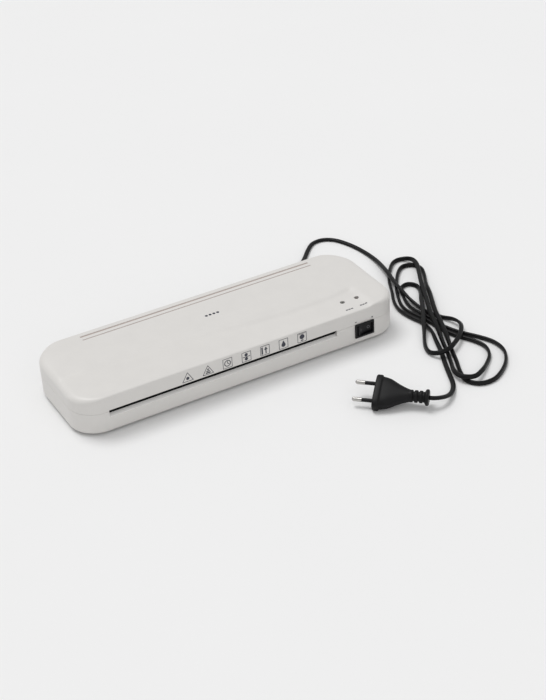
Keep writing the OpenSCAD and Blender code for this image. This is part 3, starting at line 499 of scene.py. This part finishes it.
# ------------------------------------------------------------------ case shells
def outline(w, d, r, per_arc=20, step=2.5):
    """Rounded rectangle as (x, y, outward x, outward y), anticlockwise from the right end's front."""
    pts = []

    def edge(a, b, n):
        count = max(2, int(round(math.dist(a, b) / step)))
        for k in range(count):
            f = k / count
            pts.append((a[0] + (b[0] - a[0]) * f, a[1] + (b[1] - a[1]) * f, *n))

    def arc(cx, cy, start):
        for k in range(per_arc):
            t = math.radians(start + 90 * k / per_arc)
            pts.append((cx + r * math.cos(t), cy + r * math.sin(t), math.cos(t), math.sin(t)))

    x, y = w / 2 - r, d / 2 - r
    edge((-x, -d / 2), (x, -d / 2), (0, -1))
    arc(x, -y, -90)
    edge((w / 2, -y), (w / 2, y), (1, 0))
    arc(x, y, 0)
    edge((x, d / 2), (-x, d / 2), (0, 1))
    arc(-x, y, 90)
    edge((-w / 2, y), (-w / 2, -y), (-1, 0))
    arc(-x, -y, 180)
    return pts


def soft_step(v):
    v = min(1.0, max(0.0, v))
    return v * v * (3 - 2 * v)


def top_drop(x, y):
    """How far the top lies under its highest field, in millimetres."""
    # the ends fall away softly
    end = abs(x) - (CASE_W / 2 - 34)
    drop = 1.7 * max(0.0, end / 34) ** 2.2
    # the long soft step that runs in front of the middle and fades to the left
    knots_x = (-150.0, -84.0, -25.0, 14.0, 65.0, 112.0, 135.0)
    knots_y = (-5.6, -6.7, -11.7, -17.2, -21.9, -21.0, -16.3)
    depth = 0.7 + 1.2 * soft_step((x + 125) / 190)
    line_y = float(np.interp(x, knots_x, knots_y))
    width = 2.5
    if x > 126:
        # it turns round the corner beside the lamps
        depth *= 1 - soft_step((x - 131) / 9)
    drop += depth * (1 - soft_step((y - line_y + width) / (2 * width)))
    return drop


def shell_rings(pts, levels):
    return [[(x - inset * nx, y - inset * ny, z) for x, y, nx, ny in pts] for inset, z in levels]


def make_top(mats):
    pts = outline(CASE_W, CASE_D, CORNER_R)
    levels = [(0.35, SEAM_Z + 0.02), (0.1, SEAM_Z + 0.12), (0, SEAM_Z + 0.4), (0, 26), (0, 28.5), (0, 31)]
    rings = shell_rings(pts, levels)
    for k in range(0, 10):
        a = math.radians(10 * k)
        ring = []
        for x, y, nx, ny in pts:
            r = 1.9 + 4.6 * soft_step((abs(x) - 138) / 29)
            inset = r * (1 - math.cos(a))
            ring.append((x - inset * nx, y - inset * ny, CASE_H - r + r * math.sin(a)))
        rings.append(ring)
    last = rings[-1]
    spine = CASE_W / 2 - CASE_D / 2
    for k in range(1, 25):
        f = k / 24
        ring = []
        for x, y, z in last:
            sx = max(-spine, min(spine, x))
            ring.append((x + (sx - x) * f, y * (1 - f), z))
        rings.append(ring)

    def shaped(p):
        x, y, z = p
        share = max(0.0, (z - 31) / (CASE_H - 31))
        return x, y, z - top_drop(x, y) * share ** 1.5

    n = len(pts)
    verts = [shaped(p) for ring in rings for p in ring]
    faces = [(i * n + k, i * n + (k + 1) % n, (i + 1) * n + (k + 1) % n, (i + 1) * n + k)
             for i in range(len(rings) - 1) for k in range(n)]
    faces.append(tuple(range(n)))
    top = add_mesh("case_top", verts, faces)
    bm = bmesh.new()
    bm.from_mesh(top.data)
    bmesh.ops.remove_doubles(bm, verts=bm.verts, dist=2e-6)
    bmesh.ops.recalc_face_normals(bm, faces=bm.faces)
    bm.to_mesh(top.data)
    bm.free()
    inner = outline(CASE_W - 2 * WALL, CASE_D - 2 * WALL, CORNER_R - WALL)
    boolean(top, loft("hollow", shell_rings(inner, [(0, SEAM_Z - 1), (0, CASE_H - WALL - 1.6)])))
    # the ceiling is higher behind the soft step, where the upper gear and the frame need room
    boolean(top, box_mesh("ceiling", (-150, -2, 33), (150, 50, CASE_H - WALL)))
    for x in LAMPS:
        boolean(top, rod_mesh("lamp_hole", (x, LAMP_Y, 34), (x, LAMP_Y, CASE_H + 2), 2.4, 40))
    # two grooves along the back
    grooves = ((47.0, 1.15, 0.5), (41.2, 0.7, 0.35))
    for y, half, depth in grooves:
        boolean(top, box_mesh("groove", (-120, y - half, CASE_H - depth), (125, y + half, CASE_H + 2)))
    boolean(top, box_mesh("mouth", (SLOT_LEFT, FRONT_Y - 1, SEAM_Z - 1), (SLOT_RIGHT, FRONT_Y + 9, SLOT_TOP)))
    boolean(top, box_mesh("exit", (SLOT_LEFT, BACK_Y - WALL - 2, SEAM_Z - 1), (SLOT_RIGHT, BACK_Y + 1, 25.0)))
    smooth_by_angle(top, 35)
    dress(top, mats["case"])
    # the groove floors take the darker groove material: painted shade in the grooves
    top.data.materials.append(mats["groove"])
    for face in top.data.polygons:
        c = face.center / MM
        for y, half, depth in grooves:
            if abs(c.y - y) < half and abs(c.z - CASE_H + depth) < 0.02 and abs(c.x - 2.5) < 122.5:
                face.material_index = 1
    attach(top, "case")
    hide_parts("top_cover")
    return top


def make_base(mats):
    pts = outline(CASE_W, CASE_D, CORNER_R)
    fillet = 2.8
    levels = [(fillet, FOOT_H)]
    for k in range(1, 7):
        a = math.radians(90 * k / 6)
        levels.append((fillet * (1 - math.sin(a)), FOOT_H + fillet * (1 - math.cos(a))))
    levels += [(0, 9), (0, 14), (0, 19), (0, SEAM_Z - 0.4), (0.1, SEAM_Z - 0.12), (0.35, SEAM_Z - 0.02)]
    base = loft("case_base", shell_rings(pts, levels))
    inner = outline(CASE_W - 2 * WALL, CASE_D - 2 * WALL, CORNER_R - WALL)
    boolean(base, loft("hollow", shell_rings(inner, [(0, FOOT_H + WALL), (0, SEAM_Z + 1)])))
    boolean(base, box_mesh("sill", (SLOT_LEFT - 3, FRONT_Y + 1, FOOT_H + WALL - 1),
                           (SLOT_RIGHT + 3, FRONT_Y + 4, 21)), "UNION")
    boolean(base, prism_x("mouth", SLOT_LEFT, SLOT_RIGHT, [
        (FRONT_Y - 1, 17.5), (FRONT_Y - 0.01, 17.75), (FRONT_Y + 0.35, 18.1), (FRONT_Y + 4, 19.6),
        (FRONT_Y + 5, 19.6), (FRONT_Y + 5, 26), (FRONT_Y - 1, 26)]))
    boolean(base, box_mesh("exit", (SLOT_LEFT, BACK_Y - WALL - 2, 18.0), (SLOT_RIGHT, BACK_Y + 1, SEAM_Z + 1)))
    boolean(base, box_mesh("window", (SWITCH_X - 9.5, FRONT_Y - 1, SWITCH_Z - 6.4),
                           (SWITCH_X + 9.5, FRONT_Y + 4, SWITCH_Z + 6.4)))
    boolean(base, rod_mesh("relief_hole", (CORD_X, BACK_Y - 5, CORD_Z), (CORD_X, BACK_Y + 2, CORD_Z), 4.0, 40))
    for x in (-157, 157):
        for y in (-35, 35):
            boolean(base, rod_mesh("screw_well", (x, y, 0), (x, y, 4.6), 3.3, 32))
    for x in range(-110, 67, 22):
        boolean(base, box_mesh("vent", (x, -30, 0), (x + 3, -6, 6)))
    smooth_by_angle(base, 35)
    dress(base, mats["case"])
    # the upward faces of the ledge take the lighter ledge material: painted light where the ledge catches the light
    base.data.materials.append(mats["ledge"])
    for face in base.data.polygons:
        c = face.center / MM
        if face.normal.z > 0.5 and FRONT_Y < c.y < FRONT_Y + 5 and 17.4 < c.z < 20:
            face.material_index = 1
    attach(base, "case")
    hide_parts("base_tray", "left_rim", "right_rim", "feed_sill")
    return base


# ------------------------------------------------------------------ switch
def make_switch(mats):
    y0 = FRONT_Y - 1.6
    bezel = box_mesh("switch_bezel", (SWITCH_X - 10.5, y0, SWITCH_Z - 7.5), (SWITCH_X + 10.5, FRONT_Y, SWITCH_Z + 7.5))
    bevelled(bezel, 0.7, 3)
    body = box_mesh("switch_body", (SWITCH_X - 9.45, FRONT_Y - 0.3, SWITCH_Z - 6.35),
                    (SWITCH_X + 9.45, FRONT_Y + 13, SWITCH_Z + 6.35))
    boolean(bezel, body, "UNION")
    boolean(bezel, box_mesh("well", (SWITCH_X - 8.7, y0 - 1, SWITCH_Z - 5.5),
                            (SWITCH_X + 8.7, FRONT_Y + 8, SWITCH_Z + 5.5)))
    smooth_by_angle(bezel, 35)
    dress(bezel, mats["black"])
    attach(bezel, "case")
    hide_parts("switch_housing")

    # rocker, dished on each half, in its own frame with the pivot at the origin
    cols, half_w, half_h = 28, 8.2, 5.2
    top = []
    for k in range(cols + 1):
        x = -half_w + 2 * half_w * k / cols
        f = abs(x) / half_w
        top.append((x, -1.9 - 1.3 * f ** 1.5 + 0.25 * math.sin(math.pi * f)))
    profile = top + [(half_w - 0.5, 0.8), (3, 2.4), (-3, 2.4), (-half_w + 0.5, 0.8)]
    n = len(profile)
    verts = [(x, y, z) for z in (-half_h, half_h) for x, y in profile]
    faces = [(k, (k + 1) % n, n + (k + 1) % n, n + k) for k in range(n)]
    faces += [tuple(range(n)), tuple(range(n, 2 * n))]
    rocker = add_mesh("rocker_cap", verts, faces)
    bevelled(rocker, 0.35, 3, 50)
    marks = []
    ring_out, ring_in, seg = 1.5, 1.1, 28
    ring = []
    for k in range(seg):
        a = 2 * math.pi * k / seg
        ring.append((math.cos(a), math.sin(a)))

    def on_face(x, z, lift):
        f = abs(x) / half_w
        return x, -1.9 - 1.3 * f ** 1.5 + 0.25 * math.sin(math.pi * f) - lift, z

    lift = 0.06
    v, fcs = [], []
    for c, s in ring:
        v += [on_face(4.6 + c * ring_out, s * ring_out, lift), on_face(4.6 + c * ring_in, s * ring_in, lift),
              on_face(4.6 + c * ring_out, s * ring_out, -0.2), on_face(4.6 + c * ring_in, s * ring_in, -0.2)]
    for k in range(seg):
        a, b = 4 * k, 4 * ((k + 1) % seg)
        fcs += [(a, a + 1, b + 1, b), (a, b, b + 2, a + 2), (a + 1, a + 3, b + 3, b + 1), (a + 2, b + 2, b + 3, a + 3)]
    marks.append(add_mesh("mark_ring", v, fcs))
    bar = [on_face(-4.6 + dx, dz, li) for li in (lift, -0.2) for dx, dz in
           ((-0.25, -1.5), (0.25, -1.5), (0.25, 1.5), (-0.25, 1.5))]
    marks.append(add_mesh("mark_bar", bar, [(0, 1, 2, 3), (4, 7, 6, 5), (0, 4, 5, 1), (1, 5, 6, 2),
                                           (2, 6, 7, 3), (3, 7, 4, 0)]))
    mark = join("rocker_marks", marks)
    place = (Matrix.Translation(Vector((SWITCH_X, FRONT_Y + 2.2, SWITCH_Z)) * MM)
             @ Matrix.Rotation(math.radians(10), 4, "Z"))
    for o, mat in ((rocker, "black"), (mark, "pale_print")):
        o.matrix_world = place
        smooth_by_angle(o, 40)
        dress(o, mats[mat])
        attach(o, "rocker")
    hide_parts("switch_rocker")


# ------------------------------------------------------------------ springs
SPRING_WIRE, SPRING_TURNS, ROLLER_LIFT = 0.7, 3, 0.8


def make_springs(mats):
    """The two springs over the upper bushes."""
    low, high = (Vector(c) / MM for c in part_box("pressure_springs"))
    r = (high.y - low.y - SPRING_WIRE) / 2
    mid_y, half_wire, steps, sides = (low.y + high.y) / 2, SPRING_WIRE / 2, 24, 10
    coils = []
    for x in (low.x + r + half_wire, high.x - r - half_wire):
        count = steps * SPRING_TURNS
        rings = []
        for i in range(count + 1):
            t = 2 * math.pi * i / steps
            out = Vector((math.cos(t), math.sin(t), 0))
            z = low.z + half_wire + (high.z - low.z - SPRING_WIRE) * i / count
            centre = Vector((x, mid_y, z)) + out * r
            rings.append([tuple(centre + (out * math.cos(a) + Vector((0, 0, 1)) * math.sin(a)) * half_wire)
                          for a in (2 * math.pi * k / sides for k in range(sides))])
        coils.append(loft("coil", rings))
    springs = join("roller_springs", coils)
    smooth_by_angle(springs, 50)
    dress(springs, mats["steel"])
    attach(springs, "upper_carrier")
    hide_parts("pressure_springs")
    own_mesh(springs)


# ------------------------------------------------------------------ printed marks
PRINT_T = 0.06


def flat_mark(polygons, to_world):
    """Thin raised print. Each polygon is a list of 2-D points; to_world turns (u, v, lift) into millimetres."""
    verts, faces = [], []
    for poly in polygons:
        n, at = len(poly), len(verts)
        verts += [to_world(u, v, PRINT_T) for u, v in poly] + [to_world(u, v, -0.05) for u, v in poly]
        faces.append(tuple(range(at, at + n)))
        faces.append(tuple(range(at + 2 * n - 1, at + n - 1, -1)))
        faces += [(at + k, at + n + k, at + n + (k + 1) % n, at + (k + 1) % n) for k in range(n)]
    return add_mesh("mark", verts, faces)


def stroke(a, b, w):
    dx, dy = b[0] - a[0], b[1] - a[1]
    k = w / 2 / math.hypot(dx, dy)
    px, py = -dy * k, dx * k
    return [(a[0] + px, a[1] + py), (a[0] - px, a[1] - py), (b[0] - px, b[1] - py), (b[0] + px, b[1] + py)]


def closed_line(points, w):
    return [stroke(points[i], points[(i + 1) % len(points)], w) for i in range(len(points))]


def disc(cx, cy, r, sides=18):
    return [(cx + r * math.cos(2 * math.pi * k / sides), cy + r * math.sin(2 * math.pi * k / sides))
            for k in range(sides)]


def rect(x0, y0, x1, y1):
    return [(x0, y0), (x1, y0), (x1, y1), (x0, y1)]


def pictogram(kind):
    """Plain pictures about 10 mm across: the first two in a triangle, the others in a square."""
    if kind < 2:
        frame_lines = closed_line([(-5.4, -4.4), (5.4, -4.4), (0, 4.8)], 0.55)
        if kind == 0:
            return frame_lines + [disc(0, -1.3, 1.6)]
        return frame_lines + [rect(-2.4, -3.4, 2.4, -2.2), rect(-1.7, -1.6, 1.7, -0.5), rect(-0.8, 0.1, 0.8, 1.5)]
    out = closed_line([(-4.6, -4.9), (4.6, -4.9), (4.6, 4.9), (-4.6, 4.9)], 0.5)
    if kind == 2:  # a dial
        pts = disc(0, 0, 3.0, 20)
        return out + closed_line(pts, 0.8) + [stroke((0, 0), (0, 2.1), 0.7), stroke((0, 0), (1.7, -0.8), 0.7)]
    if kind == 3:  # a sheet between two rollers
        return out + [disc(-0.2, 2.2, 1.7), disc(-0.2, -2.2, 1.7), rect(-3.8, -0.35, 3.8, 0.35)]
    if kind == 4:  # a raised arrow beside a sheet
        return out + [rect(-3.7, -3.8, -2.2, 3.8), rect(0.4, -3.8, 1.5, 0.4), [(-0.9, 0.4), (2.8, 0.4), (0.95, 3.7)]]
    if kind == 5:  # a drop
        drop = [(0, 3.6)] + [
            (2.2 * math.sin(math.radians(a)), -1.2 + 2.2 * math.cos(math.radians(a))) for a in range(55, 306, 12)]
        return out + [drop]
    return out + [disc(0, 0.6, 2.6), rect(-1.3, -3.8, 1.3, -2.6), rect(-3.8, 3.6, 3.8, 4.1)]


def make_marks(mats):
    parts = []
    for kind, cx in enumerate((-60.6, -40.0, -20.0, -0.4, 19.0, 38.6, 58.4)):
        parts.append(flat_mark(pictogram(kind), lambda u, v, lift, cx=cx: (cx + u, FRONT_Y - lift, 31.0 + v)))
    # plain dots and bars
    top_z = CASE_H

    def on_top(cx, cy):
        return lambda u, v, lift: (cx + u, cy + v, top_z - top_drop(cx + u, cy + v) + lift)

    parts.append(flat_mark([disc(x, 0, 1.45) for x in (-6, -2, 2, 6)], on_top(1.3, 14.7)))
    small = [rect(x - 1.1, -0.85, x + 1.1, 0.85) for x in (-2.8, 0, 2.8)]
    tiny = []
    for cx, cy in ((114.7, -47.9), (130.4, -47.6)):
        tiny.append(flat_mark(small, on_top(cx, cy)))
    for cx, poly in ((SWITCH_X - 9.2, rect(-1.0, -0.35, 1.0, 0.35)), (SWITCH_X + 9.0, disc(0, 0, 0.8))):
        parts.append(flat_mark([poly], lambda u, v, lift, cx=cx: (cx + u, FRONT_Y - lift, 26.6 + v)))
    for name, group, mat in (("printed_pictures", parts, "print"), ("printed_labels", tiny, "pale_print")):
        mark = join(name, group)
        dress(mark, mats[mat])
        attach(mark, "case")


make_top(MATS)
make_base(MATS)
make_switch(MATS)
make_springs(MATS)
make_marks(MATS)


# ------------------------------------------------------------------ stage and light
def make_stage():
    mesh = bpy.data.meshes.new("floor")
    mesh.from_pydata([(-6, -6, 0), (6, -6, 0), (6, 6, 0), (-6, 6, 0)], [], [(0, 1, 2, 3)])
    floor = bpy.data.objects.new("floor", mesh)
    scene.collection.objects.link(floor)
    dress(floor, material("paper_floor", (0.855, 0.855, 0.855), 0.9, spot=0.004, spot_scale=4))


def make_light():
    world = bpy.data.worlds.new("studio")
    world.use_nodes = True
    background = world.node_tree.nodes["Background"]
    background.inputs["Color"].default_value = (1, 1, 1, 1)
    background.inputs["Strength"].default_value = 0.55
    scene.world = world
    for name, energy, spread, heading in (("key_sun", 1.34, 30, (0.16, -0.40, -1)),
                                          ("front_fill", 0.34, 60, (0.05, 1, -0.8))):
        sun = bpy.data.lights.new(name, "SUN")
        sun.energy, sun.angle = energy, math.radians(spread)
        lamp = bpy.data.objects.new(name, sun)
        lamp.rotation_euler = Vector(heading).to_track_quat("-Z", "Y").to_euler()
        scene.collection.objects.link(lamp)
    scene.view_settings.view_transform = "Standard"
    scene.view_settings.look = "None"


make_stage()
make_light()
